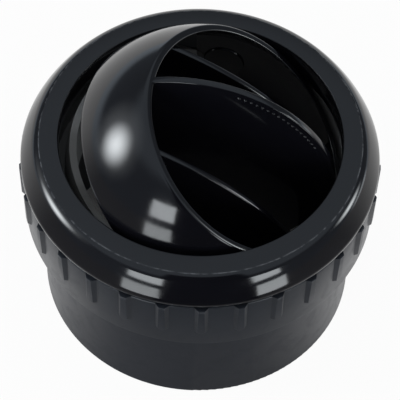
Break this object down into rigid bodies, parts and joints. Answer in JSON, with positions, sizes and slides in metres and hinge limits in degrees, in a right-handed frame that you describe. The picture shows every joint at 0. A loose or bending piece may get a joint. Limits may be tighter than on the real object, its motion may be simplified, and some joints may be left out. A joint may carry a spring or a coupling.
{
  "type": "eyeball vent",
  "caption": "Round panel air outlet: a vaned ball tilts and swivels in a trim flange, clamped from behind by a ribbed ring, with a spigot for a round duct.",
  "frame": {"origin": "centre of the duct spigot's open end", "axes": "+Z out of the vent's face along the duct axis; the mouth leans towards +X, turned 9 degrees towards -Y"},
  "size_m": [0.1025, 0.1025, 0.0894],
  "materials": {
    "gloss_black": "polished moulded face",
    "satin_black": "fine satin moulding",
    "washer": "natural slippery plastic",
    "brake": "soft friction ring"
  },
  "bodies": {
    "housing": {"bezel": "gloss_black", "duct_spigot": "satin_black", "brake_ring": "brake"},
    "clamp": {"clamp_ring": "satin_black"},
    "rotor": {"swivel_ring": "satin_black", "tilt_pins": "satin_black", "pivot_washers": "washer"},
    "eyeball": {"ball": "gloss_black"}
  },
  "joints": [
    {"name": "clamp_travel", "type": "slide", "parent": "housing", "child": "clamp", "axis": [0, 0, -1], "range_m": [0, 0.012]},
    {"name": "swivel", "type": "hinge", "parent": "housing", "child": "rotor", "pos_m": [0, 0, 0.05], "axis": [0, 0, 1], "continuous": true},
    {"name": "tilt", "type": "hinge", "parent": "rotor", "child": "eyeball", "pos_m": [0, 0, 0.05], "axis": [0.1564, 0.9877, 0], "range_deg": [-38, 0]}
  ]
}
